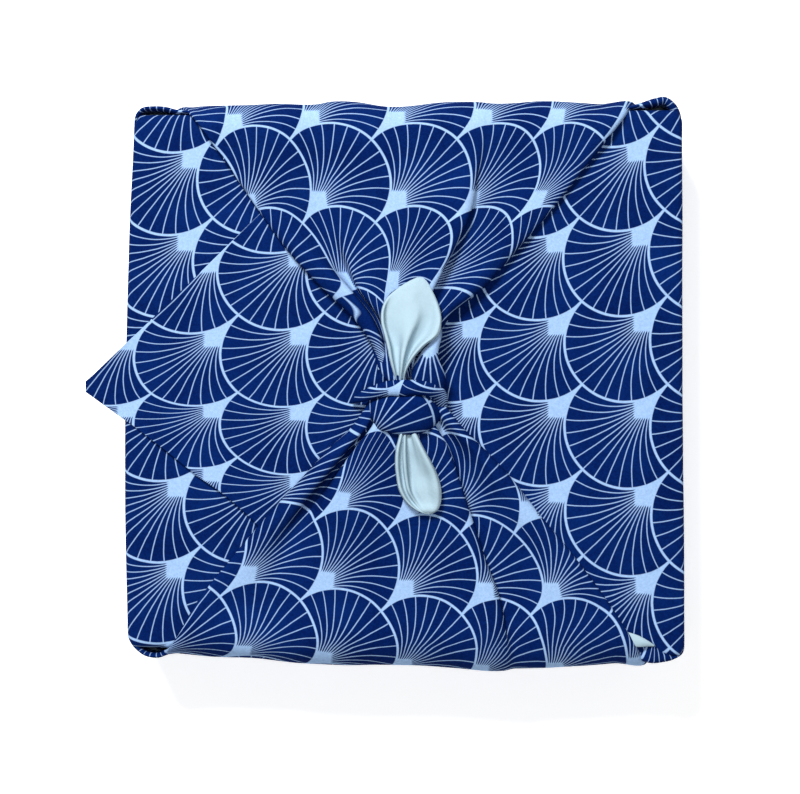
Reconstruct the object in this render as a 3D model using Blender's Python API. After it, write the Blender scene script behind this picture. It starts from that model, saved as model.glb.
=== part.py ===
# A square cotton cloth wrapped round a flat square box and tied on top.
# The cloth lies corner-wise under the box. Its left corner is folded over the top
# first, its right corner over that, with the tip left out past the left side. Its
# back and front corners are drawn up over the edges and tied in a square knot.
# The cloth is one piece, so the parcel is one solid.

from collections import namedtuple
from math import cos, pi, sin

import bmesh
import bpy
from mathutils import Vector

# All sizes are in millimetres. X is to the right, Y to the back, Z up, and the
# origin is in the middle of the underside.
MM = 0.001

HALF_WIDTH = 140.5      # to the left and right faces
HALF_DEPTH = 136.5      # to the back and front faces, under the drawn-up corners
TOP = 54.0              # level of the cloth folded over from the right
LAYER = 2.0             # one layer of cloth
SEAT = 4.0              # how far a fold is sunk into what carries it
CORNER_RADIUS = 7.0     # upright corners of the box
EDGE_RADIUS = 3.2       # its top and bottom edges
EDGE_PART = 0.3         # halfway round an edge, as a share of its radius
SIDE_BULGE = 1.4        # the cloth stands off the middle of each side
UPPER_BULGE = (0.2, 0.1)    # shares of that left below and on the top edge
STRAIGHT_SHARE = 0.375  # of each quarter turn round the parcel lies before its corner
CORNER_SHARE = 0.25     # and the corner takes this much
PARCEL_SIDES = 32
BAND_SIDES = 12         # sides of each rolled band of the knot
EAR_SIDES = 16
EAR_ROWS = 6
CORE_SIDES = (14, 8)
LINE_STEP = 0.02        # a line's direction is read this share ahead and behind
FOLD_COLUMNS = 3        # columns of faces from one fold line to the next
STATION_ROWS = 2        # rows of faces from one station to the next
LEAF_COLUMNS = 8
FLAP_GRID = (6, 8)
DRAW_REACH = 60.0       # the hidden side of a drawn-up corner is drawn to this reach
DRAW_LEVEL = 20.0       # and level
DRAW_SHARE = 0.92       # by this scale
LIMIT_SLOPE = 0.04      # and past the sunk limit it goes on this slowly

# A drawn-up corner is placed by stations along it, from the foot of the side over
# the edge to the knot: reach from the middle, level, and the way its folds rise.
Station = namedtuple("Station", "reach level out up")

BACK_STATIONS = (
    Station(136.0, 1.2, 1.0, 0.0),
    Station(136.8, 14.0, 1.0, 0.0),
    Station(137.4, 34.0, 1.0, 0.0),
    Station(137.8, 48.5, 0.9, 0.2),
    Station(133.0, 54.2, 0.2, 1.0),
    Station(110.0, 54.2, 0.0, 1.0),
    Station(86.0, 54.2, 0.0, 1.0),
    Station(66.0, 54.2, 0.0, 1.0),
    Station(48.0, 54.2, 0.0, 1.0),
    Station(32.0, 54.2, 0.0, 1.0),
    Station(14.0, 54.2, 0.0, 1.0),
    Station(-4.0, 54.2, 0.0, 1.0),
)
FRONT_STATIONS = BACK_STATIONS[:10] + (
    Station(23.0, 54.2, 0.0, 1.0),
    Station(12.0, 54.2, 0.0, 1.0),
)

# Each row is one fold line of a drawn-up corner: where it lies across the parcel and
# how proud it stands, at every station.
FoldLine = namedtuple("FoldLine", "name across proud")

BACK_FOLDS = (
    FoldLine("left edge",
             (-137, -131, -121, -113, -107, -90, -73.5, -59, -42.5, -26, -15, -14),
             (0.3, 0.8, 1.0, 1.0, 0.8, 0.8, 0.9, 1.0, 1.5, 2.5, 4.0, 4.0)),
    FoldLine("left roll",
             (-132, -125, -114, -105, -99, -82, -68, -53.5, -36, -21, -13, -11),
             (0.8, 2.0, 2.6, 2.6, 2.4, 3.0, 4.6, 7.5, 9.5, 10.5, 10.5, 7.0)),
    FoldLine("left shoulder",
             (-92, -88, -80, -74, -70, -61, -52, -43, -30, -18, -10, -8),
             (0.8, 2.4, 4.2, 4.0, 2.4, 2.4, 3.4, 4.6, 6.5, 8.0, 9.5, 7.0)),
    FoldLine("left valley",
             (-56, -54, -51, -49, -48, -44, -39, -34, -25.5, -14, -7, -5),
             (0.8, 2.2, 4.2, 4.2, 2.0, 1.2, 0.9, 0.9, 1.2, 3.5, 8.0, 7.0)),
    FoldLine("middle left",
             (-30, -29, -28, -27, -27, -26, -25, -24, -18.5, -9, -4, -3),
             (0.8, 2.4, 4.6, 4.4, 2.6, 3.2, 4.2, 5.4, 7.5, 9.5, 10.5, 7.0)),
    FoldLine("middle",
             (2, 2, 2, 2, 2, 2, 1, -1, -3, -2, 0, 0),
             (0.8, 1.6, 2.0, 1.8, 1.6, 2.6, 3.6, 5.0, 7.2, 9.2, 10.5, 7.0)),
    FoldLine("pleat lip",
             (40, 40, 40, 40, 39.5, 35, 30, 21.5, 12, 6, 4, 3),
             (0.8, 2.4, 4.8, 4.8, 2.8, 3.0, 4.4, 6.0, 8.0, 9.5, 10.5, 7.0)),
    FoldLine("pleat foot",
             (48, 48, 47, 46, 45, 40, 34, 25.5, 16.5, 10, 7, 5),
             (0.8, 2.0, 4.2, 4.2, 2.2, 1.4, 1.0, 0.9, 1.2, 3.5, 8.0, 7.0)),
    FoldLine("right roll",
             (132, 126, 116, 108, 102.5, 85.5, 66.5, 50, 34, 17.5, 12, 10),
             (0.8, 2.0, 2.8, 2.8, 2.4, 3.2, 4.8, 6.5, 8.0, 9.0, 9.0, 7.0)),
    FoldLine("right edge",
             (137, 132, 123, 116, 110.5, 92.5, 73.5, 56, 40, 21.5, 14, 12),
             (0.3, 0.8, 1.0, 1.0, 0.8, 0.8, 0.9, 1.0, 1.4, 2.5, 4.0, 4.0)),
)

FRONT_FOLDS = (
    FoldLine("left edge",
             (-137, -134, -129, -124, -119, -105, -86, -69, -52.5, -37.5, -28, -20),
             (0.3, 0.5, 0.5, 0.6, 0.6, 0.8, 0.9, 1.0, 1.2, 1.5, 3.0, 4.0)),
    FoldLine("left tube",
             (-132, -128, -122, -116, -111, -97, -79, -62, -46, -32.5, -23, -16),
             (0.8, 1.2, 1.4, 1.4, 1.8, 2.4, 4.0, 7.5, 9.0, 9.5, 9.0, 7.5)),
    FoldLine("tube foot",
             (-98, -97, -94, -91, -89, -81, -66, -51.5, -38.5, -28, -19, -13),
             (0.8, 1.4, 2.2, 2.2, 1.8, 2.0, 1.8, 0.9, 0.9, 1.2, 3.0, 6.5)),
    FoldLine("middle left",
             (-76, -76, -75, -74, -72, -64, -53, -42, -33.5, -24, -15, -10),
             (0.8, 1.8, 3.0, 3.0, 2.2, 2.8, 3.8, 5.2, 6.5, 8.0, 9.0, 7.5)),
    FoldLine("middle",
             (-6, -6, -6, -6, -6, -6, -5, -4, -2, 0, 1, 1),
             (0.8, 3.0, 5.6, 5.6, 2.8, 3.2, 4.2, 5.6, 7.2, 8.6, 9.5, 8.0)),
    FoldLine("pleat lip",
             (48, 49, 50, 51, 51, 46.5, 38.5, 32.5, 26.5, 21, 15.5, 9),
             (0.8, 4.0, 7.2, 7.8, 4.0, 3.8, 4.8, 6.2, 7.6, 8.8, 9.5, 8.0)),
    FoldLine("pleat foot",
             (55, 56, 57, 57.5, 57, 51.5, 43, 36, 29.5, 24, 18.5, 12),
             (0.8, 3.2, 6.0, 6.4, 2.4, 1.6, 1.2, 1.1, 1.4, 2.4, 4.0, 6.5)),
    FoldLine("right roll",
             (132, 129, 123, 117, 112, 95.5, 77, 60, 46.5, 32.5, 24, 16),
             (0.8, 2.4, 4.0, 4.0, 2.6, 3.2, 4.6, 6.2, 7.4, 8.2, 8.5, 7.5)),
    FoldLine("right edge",
             (137, 134.5, 129, 123, 118, 102.5, 83, 66.5, 53, 38, 29, 20),
             (0.3, 0.8, 1.0, 1.0, 0.8, 0.8, 0.9, 1.0, 1.2, 1.5, 3.0, 4.0)),
)

# The corner folded over from the right, as its upper and lower edges and its tip.
FLAP_TIP = (-161.5, -2.0)
FLAP_BACK_EDGE = ((-134, 25.3), (-105, 52.5), (-82, 76.5), (-20, 138))
FLAP_FRONT_EDGE = ((-151, -12.5), (-124, -31.5), (-80, -69), (-20, -138))
FLAP_RISE = 0.5         # the tip part rides this far above the panel
FLAP_DROOP = 2.4        # and its end hangs this far below
FLAP_FREE = (-128.5, 32.0)      # the droop sets in here, over this length
FLAP_HELD = (-140.0, 20.0)      # here it starts to be held, over this length
FLAP_SINK = 1.6         # the held part is sunk this far
FLAP_NARROW = 0.1       # and drawn in from its edges by this share
FLAP_BLUNT = 0.03       # share of its length missing at the tip
STEP_INNER = -20.0      # the left panel's step ends here, under the drawn-up corners
STEP_MARGIN = 40.0      # the cutter for it reaches this far past the parcel
STEP_HEIGHT = 10.0

# A band of the knot: middle line, width across the line and thickness through it.
Band = namedtuple("Band", "x y level width thick")

FRONT_BAND = (
    Band(-15.5, -12.0, 56.0, 10.0, 7.0),
    Band(-13.0, -13.5, 61.0, 16.0, 8.0),
    Band(-5.0, -15.5, 65.5, 21.0, 8.5),
    Band(5.0, -16.0, 66.0, 21.0, 8.5),
    Band(13.5, -14.0, 61.5, 17.0, 8.0),
    Band(16.5, -11.5, 56.0, 10.0, 7.0),
)
TOP_BAND = (
    Band(-26.0, -9.5, 56.5, 3.0, 3.0),
    Band(-20.0, -5.5, 61.5, 7.0, 6.0),
    Band(-9.0, -1.5, 66.5, 9.5, 7.0),
    Band(3.0, -1.2, 67.5, 9.0, 7.0),
    Band(14.0, -1.8, 65.0, 9.5, 7.0),
    Band(19.5, -7.5, 58.5, 8.0, 6.0),
    Band(17.0, -13.0, 55.5, 6.0, 5.0),
)
TAIL_ROOT = (
    Band(16.0, -4.0, 60.0, 8.0, 6.0),
    Band(14.5, 3.0, 63.5, 11.0, 6.5),
    Band(13.0, 10.0, 64.5, 9.0, 5.0),
    Band(13.5, 17.0, 64.0, 4.0, 3.0),
)
KNOT_CORE = ((0.5, -9.0, 57.0), (19.0, 13.0, 8.5))      # middle and half sizes

# A free end is a leaf of cloth: its left and right edges at each place along it, the
# level of its middle, and how much each edge curls up above that.
Leaf = namedtuple("Leaf", "y left right level left_curl right_curl")

BACK_END = (
    Leaf(0.0, -3.5, 2.0, 66.0, 1.0, 1.0),
    Leaf(8.0, -5.5, 4.0, 67.0, 3.0, 3.0),
    Leaf(14.5, -9.0, 9.0, 67.0, 4.5, 4.5),
    Leaf(23.0, -10.5, 15.5, 66.5, 4.5, 5.0),
    Leaf(32.0, -12.0, 17.7, 66.0, 3.5, 4.0),
    Leaf(41.0, -9.5, 15.0, 66.0, 2.0, 2.0),
    Leaf(48.0, -1.5, 11.5, 66.0, 1.0, 1.0),
    Leaf(52.5, 6.0, 8.5, 65.5, 0.0, 0.0),
)
FRONT_END = (
    Leaf(-23.0, -1.5, 6.5, 64.5, 1.0, 1.0),
    Leaf(-30.0, -4.8, 12.0, 65.5, 4.0, 4.0),
    Leaf(-38.0, -5.5, 15.5, 65.5, 4.5, 4.5),
    Leaf(-47.0, -4.0, 17.5, 65.0, 4.0, 4.0),
    Leaf(-56.0, -1.0, 17.7, 64.5, 2.5, 3.0),
    Leaf(-62.0, 4.0, 16.0, 64.0, 1.0, 1.5),
    Leaf(-65.3, 9.5, 13.5, 64.0, 0.0, 0.0),
)

# The ear at each top corner, where the cloth turns in and stands open like a small
# pocket: the way to its corner, its span in from the side, how far it stands out and
# the level of its rim.
Ear = namedtuple("Ear", "name side end span out rim")

EARS = (
    Ear("back_left", -1, 1, 29.0, 4.8, 51.5),
    Ear("back_right", 1, 1, 24.0, 8.8, 52.0),
    Ear("front_left", -1, -1, 24.0, 4.6, 51.0),
    Ear("front_right", 1, -1, 24.0, 6.4, 52.0),
)
EAR_FOOT = 6.0          # level where an ear leaves the side
EAR_START = 4.0         # and where its hidden end is
EAR_INSET = 0.6         # it lies this far inside the faces at its foot
EAR_WALL = 1.8
EAR_BLUNTNESS = 0.6     # power of the sine that its curve follows
POCKET_DEPTH = 16.0
POCKET_FLOOR = 0.4      # the pocket keeps this far from the side
POCKET_SWELL = 0.8      # and is at least this wide


def clear_scene():
    for scene_object in list(bpy.data.objects):
        bpy.data.objects.remove(scene_object, do_unlink=True)


def heading(points, index):
    # Unit direction of a line of points at one of them
    total = Vector([0.0] * len(points[0]))
    for first in (index - 1, index):
        if 0 <= first < len(points) - 1:
            step = Vector(points[first + 1]) - Vector(points[first])
            total += step / step.length
    return total / total.length


def smooth_through(points, at):
    # The point a share (0 to 1) along a smooth curve through evenly counted points
    place = min(max(at, 0.0), 1.0) * (len(points) - 1)
    index = min(int(place), len(points) - 2)
    share = place - index
    start = Vector(points[index])
    end = Vector(points[index + 1])
    length = (end - start).length
    leaving = heading(points, index) * length
    arriving = heading(points, index + 1) * length
    return (start * (2.0 * share ** 3 - 3.0 * share ** 2 + 1.0)
            + leaving * (share ** 3 - 2.0 * share ** 2 + share)
            + end * (3.0 * share ** 2 - 2.0 * share ** 3)
            + arriving * (share ** 3 - share ** 2))


def ease(share):
    share = min(max(share, 0.0), 1.0)
    return share * share * (3.0 - 2.0 * share)


def soft_limit(value, limit):
    # Past the limit a value grows very slowly, so that rows of points stay apart
    return value if value < limit else limit + LIMIT_SLOPE * (value - limit)


def sheet_of(columns, rows, place):
    # A grid of faces whose corner at shares (u, v) sits at place(u, v)
    sheet = bmesh.new()
    bmesh.ops.create_grid(sheet, x_segments=columns, y_segments=rows, size=0.5)
    for vertex in sheet.verts:
        vertex.co = Vector(place(vertex.co.x + 0.5, vertex.co.y + 0.5)) * MM
    return sheet


def thicken(sheet, under):
    # Closes a sheet into a solid whose hidden side sits at under(point), in millimetres
    made = bmesh.ops.extrude_face_region(sheet, geom=sheet.faces[:])
    for item in made["geom"]:
        if isinstance(item, bmesh.types.BMVert):
            item.co = Vector(under(item.co / MM)) * MM
    bmesh.ops.recalc_face_normals(sheet, faces=sheet.faces[:])
    return sheet


def tube_of(sides, rows, place):
    # A closed solid round a line: place(angle, v) gives its skin, and flat caps end it
    tube = sheet_of(sides, rows, lambda u, v: place(u * 2.0 * pi, v))
    bmesh.ops.remove_doubles(tube, verts=tube.verts[:], dist=1e-6)
    rims = [edge for edge in tube.edges if edge.is_boundary]
    bmesh.ops.holes_fill(tube, edges=rims, sides=0)
    bmesh.ops.recalc_face_normals(tube, faces=tube.faces[:])
    return tube


def add_object(name, shape):
    # Triangles only, so that every face is flat when shapes are joined
    bmesh.ops.triangulate(shape, faces=shape.faces[:])
    mesh = bpy.data.meshes.new(name)
    shape.to_mesh(mesh)
    shape.free()
    made = bpy.data.objects.new(name, mesh)
    bpy.context.scene.collection.objects.link(made)
    return made


def guide_group(name, shapes):
    # Shapes that are joined to the cloth or cut from it, and don't show by themselves
    group = bpy.data.collections.new(name)
    bpy.context.scene.collection.children.link(group)
    for label, shape in shapes:
        guide = add_object(label, shape)
        guide.display_type = "WIRE"
        guide.hide_render = True
        bpy.context.scene.collection.objects.unlink(guide)
        group.objects.link(guide)
    return group


def combine(target, group, operation):
    boolean = target.modifiers.new(group.name, "BOOLEAN")
    boolean.operation = operation
    boolean.solver = "EXACT"
    boolean.operand_type = "COLLECTION"
    boolean.collection = group


def make_parcel():
    # The filled parcel under the folds: a box with round edges and bowed sides
    eased = EDGE_RADIUS * EDGE_PART
    levels = (
        (0.0, EDGE_RADIUS, 0.0),
        (eased, eased, 0.0),
        (EDGE_RADIUS, 0.0, 0.0),
        (TOP * 0.5, 0.0, 1.0),
        (TOP - EDGE_RADIUS, 0.0, UPPER_BULGE[0]),
        (TOP - eased, eased, UPPER_BULGE[1]),
        (TOP, EDGE_RADIUS, 0.0),
    )

    def place(angle, v):
        level, inset, bow = levels[round(v * (len(levels) - 1))]
        half_x = HALF_WIDTH - inset
        half_y = HALF_DEPTH - inset
        radius = max(CORNER_RADIUS - inset, 0.5)
        # Each quarter turn is half a straight side, a round corner, half a side
        quarter, part = divmod(angle / (pi / 2.0) % 4.0, 1.0)
        turn = quarter * pi / 2.0
        along, across = (half_x, half_y) if quarter % 2 == 0 else (half_y, half_x)
        if part < STRAIGHT_SHARE:
            local = (along, part / STRAIGHT_SHARE * (across - radius))
        elif part > STRAIGHT_SHARE + CORNER_SHARE:
            local = ((1.0 - part) / STRAIGHT_SHARE * (along - radius), across)
        else:
            arc = (part - STRAIGHT_SHARE) / CORNER_SHARE * pi / 2.0
            local = (along - radius + radius * cos(arc), across - radius + radius * sin(arc))
        bulge = SIDE_BULGE * bow * abs(cos(2.0 * (angle % pi)))
        local = Vector(local)
        local += local.normalized() * bulge
        x = local.x * cos(turn) - local.y * sin(turn)
        y = local.x * sin(turn) + local.y * cos(turn)
        return x, y, level

    return tube_of(PARCEL_SIDES, len(levels) - 1, place)


def make_left_step():
    # What is taken off so that the left panel lies one layer below the flap
    beyond = HALF_WIDTH + STEP_MARGIN
    outline = [FLAP_TIP] + list(FLAP_BACK_EDGE)
    outline += [(STEP_INNER, beyond), (-beyond, beyond), (-beyond, -beyond), (STEP_INNER, -beyond)]
    outline += list(reversed(FLAP_FRONT_EDGE))
    step = bmesh.new()
    corners = [step.verts.new((x * MM, y * MM, (TOP - LAYER) * MM)) for x, y in outline]
    base = step.faces.new(corners)
    lifted = bmesh.ops.extrude_face_region(step, geom=[base])
    risen = [item for item in lifted["geom"] if isinstance(item, bmesh.types.BMVert)]
    bmesh.ops.translate(step, verts=risen, vec=(0.0, 0.0, STEP_HEIGHT * MM))
    bmesh.ops.recalc_face_normals(step, faces=step.faces[:])
    return step


def make_flap():
    # The tip part of the corner folded over from the right, free past the left side
    back_edge = [FLAP_TIP] + list(FLAP_BACK_EDGE[:3])
    front_edge = [FLAP_TIP] + list(FLAP_FRONT_EDGE[:3])
    free_from, free_length = FLAP_FREE
    held_from, held_length = FLAP_HELD

    def place(u, v):
        v = FLAP_BLUNT + (1.0 - FLAP_BLUNT) * v
        middle = 0.5 * (smooth_through(back_edge, v) + smooth_through(front_edge, v))
        free = ease((free_from - middle.x) / free_length)
        held = ease((middle.x - held_from) / held_length)
        width = 1.0 - FLAP_NARROW * held
        back_point = middle + width * (smooth_through(back_edge, v) - middle)
        front_point = middle + width * (smooth_through(front_edge, v) - middle)
        point = back_point.lerp(front_point, u)
        return point.x, point.y, TOP + FLAP_RISE - FLAP_DROOP * free - FLAP_SINK * held

    flap = sheet_of(*FLAP_GRID, place)
    return thicken(flap, lambda point: (point.x, point.y, point.z - LAYER))


def make_drawn_corner(stations, folds, way):
    # One corner of the cloth drawn up the side and over to the knot
    lines = []
    for fold in folds:
        line = []
        for station, across, proud in zip(stations, fold.across, fold.proud):
            reach = station.reach + station.out * proud
            line.append((across, way * reach, station.level + station.up * proud))
        lines.append(line)

    def place(u, v):
        return smooth_through([smooth_through(line, v) for line in lines], u)

    def under(point):
        # Drawn towards the middle of this part of the parcel, and sunk in it
        reach = DRAW_REACH + DRAW_SHARE * (way * point.y - DRAW_REACH)
        level = DRAW_LEVEL + DRAW_SHARE * (point.z - DRAW_LEVEL)
        return point.x, way * soft_limit(reach, HALF_DEPTH - SEAT), soft_limit(level, TOP - SEAT)

    columns = FOLD_COLUMNS * (len(folds) - 1)
    rows = STATION_ROWS * (len(stations) - 1)
    return thicken(sheet_of(columns, rows, place), under)


def make_band(rows):
    # A rolled band of the knot, oval across its line
    def place(angle, v):
        x, y, level, width, thick = smooth_through(rows, v)
        ahead = smooth_through(rows, v + LINE_STEP) - smooth_through(rows, v - LINE_STEP)
        along = Vector(ahead[:3]).normalized()
        side = along.cross(Vector((0.0, 0.0, 1.0))).normalized()
        rise = side.cross(along)
        offset = side * (0.5 * width * cos(angle)) + rise * (0.5 * thick * sin(angle))
        return Vector((x, y, level)) + offset

    return tube_of(BAND_SIDES, STATION_ROWS * (len(rows) - 1), place)


def make_core():
    middle, half_sizes = KNOT_CORE
    around, upward = CORE_SIDES
    core = bmesh.new()
    bmesh.ops.create_uvsphere(core, u_segments=around, v_segments=upward, radius=MM)
    bmesh.ops.scale(core, vec=half_sizes, verts=core.verts[:])
    bmesh.ops.translate(core, vec=Vector(middle) * MM, verts=core.verts[:])
    return core


def make_free_end(rows):
    # A leaf-shaped end of the cloth, cupped along its length
    def place(u, v):
        y, left, right, level, left_curl, right_curl = smooth_through(rows, v)
        across = 2.0 * u - 1.0
        curl = left_curl if across < 0.0 else right_curl
        return left + (right - left) * u, y, level + curl * across ** 2

    end = sheet_of(LEAF_COLUMNS, STATION_ROWS * (len(rows) - 1), place)
    return thicken(end, lambda point: (point.x, point.y, point.z - LAYER))


def make_ear(ear, wall, foot, head):
    # The bowed cloth of one ear, or with a wall taken off, the pocket inside it
    outer = HALF_WIDTH - EAR_INSET - wall
    inner = HALF_WIDTH - ear.span + wall
    middle = 0.5 * (outer + inner)
    half_span = 0.5 * (outer - inner)
    hollow = wall > 0.0
    floor = HALF_DEPTH + (POCKET_FLOOR if hollow else -SEAT)
    least_swell = POCKET_SWELL if hollow else -EAR_INSET

    def place(angle, v):
        level = foot + (head - foot) * v
        swell = (ear.out - wall) * ease((level - EAR_FOOT) / (ear.rim - EAR_FOOT))
        swell = max(swell, least_swell)
        x = ear.side * (middle + half_span * cos(angle))
        if sin(angle) < 0.0:
            return x, ear.end * floor, level
        full = sin(angle) ** EAR_BLUNTNESS
        reach = floor + (HALF_DEPTH - floor + swell) * full
        return x, ear.end * reach, level

    return tube_of(EAR_SIDES, EAR_ROWS, place)


def cloth_material():
    material = bpy.data.materials.new("printed_cotton")
    material.use_nodes = True
    shader = material.node_tree.nodes["Principled BSDF"]
    shader.inputs["Base Color"].default_value = (0.012, 0.035, 0.2, 1.0)
    shader.inputs["Roughness"].default_value = 0.85
    shader.inputs["Metallic"].default_value = 0.0
    return material


def build_cloth():
    cloth = add_object("cloth", make_parcel())
    steps = [("left_step", make_left_step())]
    folds = [
        ("flap", make_flap()),
        ("back_corner", make_drawn_corner(BACK_STATIONS, BACK_FOLDS, 1)),
        ("front_corner", make_drawn_corner(FRONT_STATIONS, FRONT_FOLDS, -1)),
        ("knot_core", make_core()),
        ("front_band", make_band(FRONT_BAND)),
        ("top_band", make_band(TOP_BAND)),
        ("tail_root", make_band(TAIL_ROOT)),
        ("back_end", make_free_end(BACK_END)),
        ("front_end", make_free_end(FRONT_END)),
    ]
    pockets = []
    for ear in EARS:
        folds.append(("ear_" + ear.name, make_ear(ear, 0.0, EAR_START, ear.rim)))
        pocket = make_ear(ear, EAR_WALL, ear.rim - POCKET_DEPTH, ear.rim + LAYER)
        pockets.append(("pocket_" + ear.name, pocket))
    combine(cloth, guide_group("steps", steps), "DIFFERENCE")
    combine(cloth, guide_group("folds", folds), "UNION")
    combine(cloth, guide_group("pockets", pockets), "DIFFERENCE")
    cloth.data.materials.append(cloth_material())
    cloth.data.shade_smooth()


clear_scene()
build_cloth()
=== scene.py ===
from math import atan2, ceil, cos, hypot, pi, radians, sin, sqrt, tan

import bmesh
import bpy
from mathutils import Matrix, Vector, noise


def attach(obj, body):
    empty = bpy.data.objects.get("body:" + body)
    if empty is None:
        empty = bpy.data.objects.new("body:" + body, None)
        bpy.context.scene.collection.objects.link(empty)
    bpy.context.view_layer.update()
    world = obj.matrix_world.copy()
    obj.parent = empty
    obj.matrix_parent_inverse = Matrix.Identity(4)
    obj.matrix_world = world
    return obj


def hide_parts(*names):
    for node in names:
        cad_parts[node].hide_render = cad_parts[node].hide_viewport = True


# The dressed version of a square cotton cloth tied round a flat box.
# Lengths are in millimetres until they reach a mesh. X is right, Y back, Z up.
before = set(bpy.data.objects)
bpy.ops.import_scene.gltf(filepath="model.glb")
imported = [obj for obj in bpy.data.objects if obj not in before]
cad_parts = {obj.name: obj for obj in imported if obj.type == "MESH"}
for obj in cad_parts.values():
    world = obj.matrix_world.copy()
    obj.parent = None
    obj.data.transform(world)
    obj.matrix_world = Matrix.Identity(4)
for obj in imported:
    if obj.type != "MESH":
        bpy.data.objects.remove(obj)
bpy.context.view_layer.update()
mm = 0.001

parcel = {
    "halfWidth": 140.5,         # to the left and right faces
    "halfDepth": 136.4,         # to the back and front faces
    "top": 54.0,                # level of the corner folded over from the right
    "edgeRadius": 3.2,
    "cornerRadius": 7.0,
    "leftBulge": (2.1, 4.7),    # the left face stands out in the middle and runs in to the back
    "leftSpread": (45.0, 180.0),    # where it stands out most, and over what length
    "rightBulge": (0.3, 1.2),   # the right face stands out, more so to the front
    "rightRun": 130.0,
    "backSpread": (1.2, 0.0086),    # the back face lies out this much, and more to the right
    "frontSpread": (0.25, 0.0161),
    "heldReach": 141.0,         # past this the folded corner is free, and the bulges fade
}
cloth = {
    "thickness": 0.55,
    "navy": ((0.0003, 0.0045, 0.047, 1.0), (0.0014, 0.0170, 0.118, 1.0)),
    "paleBlue": ((0.230, 0.362, 0.590, 1.0), (0.340, 0.505, 0.760, 1.0)),
    "reverse": ((0.270, 0.380, 0.455, 1.0), (0.370, 0.500, 0.570, 1.0)),
    "rayStep": radians(12.9),   # angle between neighbouring rays of a fan
    "rayWidth": 0.0100,         # in repeats of the print
    "rimWidth": 0.028,
    "solidReach": 0.39,
    "softEdge": 0.004,          # how softly the printed lines end
    "toothLean": 0.09,          # the solid light patch runs out into the rays
    "patchEdge": (0.045, 0.012),
    "waver": 0.006,             # the lines are never quite true
    "threads": 62.0,            # threads in one repeat
    "weaveDepth": 0.00006,
    "creaseDepth": 0.0010,
    "reverseStart": (0.43, 0.1),    # where the threads of the pale side start, and their pace
    "reverseRate": 0.023,
}


# Curves

def heading(points, index):
    # Direction of a line of points at one of them: a unit one for the place in space, which is
    # the first three numbers, and the change per length for what follows
    total = Vector([0.0] * len(points[0]))
    count = 0
    for first in (index - 1, index):
        if 0 <= first < len(points) - 1:
            step = Vector(points[first + 1]) - Vector(points[first])
            total += step / max(Vector(step[:3]).length, 1e-6)
            count += 1
    size = max(Vector(total[:3]).length, 1e-6)
    return Vector([part / (size if number < 3 else count) for number, part in enumerate(total)])


def smoothThrough(points, at):
    # The point a share (0 to 1) along a smooth curve through evenly counted points
    place = min(max(at, 0.0), 1.0) * (len(points) - 1)
    index = min(int(place), len(points) - 2)
    share = place - index
    start, end = Vector(points[index]), Vector(points[index + 1])
    length = Vector((end - start)[:3]).length
    leaving = heading(points, index) * length
    arriving = heading(points, index + 1) * length
    return (start * (2.0 * share ** 3 - 3.0 * share ** 2 + 1.0)
            + leaving * (share ** 3 - 2.0 * share ** 2 + share)
            + end * (3.0 * share ** 2 - 2.0 * share ** 3)
            + arriving * (share ** 3 - share ** 2))


def ease(share):
    share = min(max(share, 0.0), 1.0)
    return share * share * (3.0 - 2.0 * share)


def between(value, table):
    # Reads a table of (place, value) pairs with straight lines between them
    if value <= table[0][0]:
        return table[0][1]
    for (lowPlace, low), (highPlace, high) in zip(table, table[1:]):
        if value <= highPlace:
            return low + (high - low) * (value - lowPlace) / (highPlace - lowPlace)
    return table[-1][1]


def ripple(x, y, size, seed=0.0):
    # Soft unevenness, from -1 to 1, in patches of that size
    return noise.noise(Vector((x / size, y / size, seed)))


def settle(x, y, z):
    # The filled parcel isn't quite square
    if x < 0.0:
        out, back = parcel["leftBulge"]
        middle, spread = parcel["leftSpread"]
        shift = back * ((y + middle) / spread) ** 2 - out
    else:
        out, front = parcel["rightBulge"]
        shift = out + front * ease(-y / parcel["rightRun"])
    extra, slope = parcel["backSpread" if y > 0.0 else "frontSpread"]
    growth = (extra + slope * x) / parcel["halfDepth"]
    held = min(1.0, parcel["heldReach"] / max(abs(x), 1.0))
    return Vector((x + shift * abs(x) / parcel["halfWidth"] * held ** 6, y * (1.0 + growth), z))


# Meshes

def makeSheet(name, columns, rows, place):
    # A grid whose corner at shares (u, v) sits where place(u, v) says, with its spot in the print
    sheet = bmesh.new()
    bmesh.ops.create_grid(sheet, x_segments=columns, y_segments=rows, size=0.5)
    printLayer = sheet.loops.layers.uv.new("print")
    spots = {}
    for vertex in sheet.verts:
        point, spot = place(vertex.co.x + 0.5, vertex.co.y + 0.5)
        vertex.co = Vector(point) * mm
        spots[vertex.index] = spot
    for face in sheet.faces:
        for loop in face.loops:
            loop[printLayer].uv = spots[loop.vert.index]
    return sheet


def finishPiece(name, shape, materials, flip=False, thickness=None):
    if flip:
        bmesh.ops.reverse_faces(shape, faces=shape.faces[:])
    for face in shape.faces:
        face.smooth = True
    mesh = bpy.data.meshes.new(name)
    shape.to_mesh(mesh)
    shape.free()
    piece = bpy.data.objects.new(name, mesh)
    bpy.context.scene.collection.objects.link(piece)
    for material in materials:
        mesh.materials.append(material)
    if thickness:
        solidify = piece.modifiers.new("thickness", "SOLIDIFY")
        solidify.thickness = thickness * mm
        solidify.offset = -1.0
        solidify.material_offset = len(materials) - 1
        solidify.material_offset_rim = 0
    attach(piece, "root")
    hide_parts("cloth")
    return piece


# Materials

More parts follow.
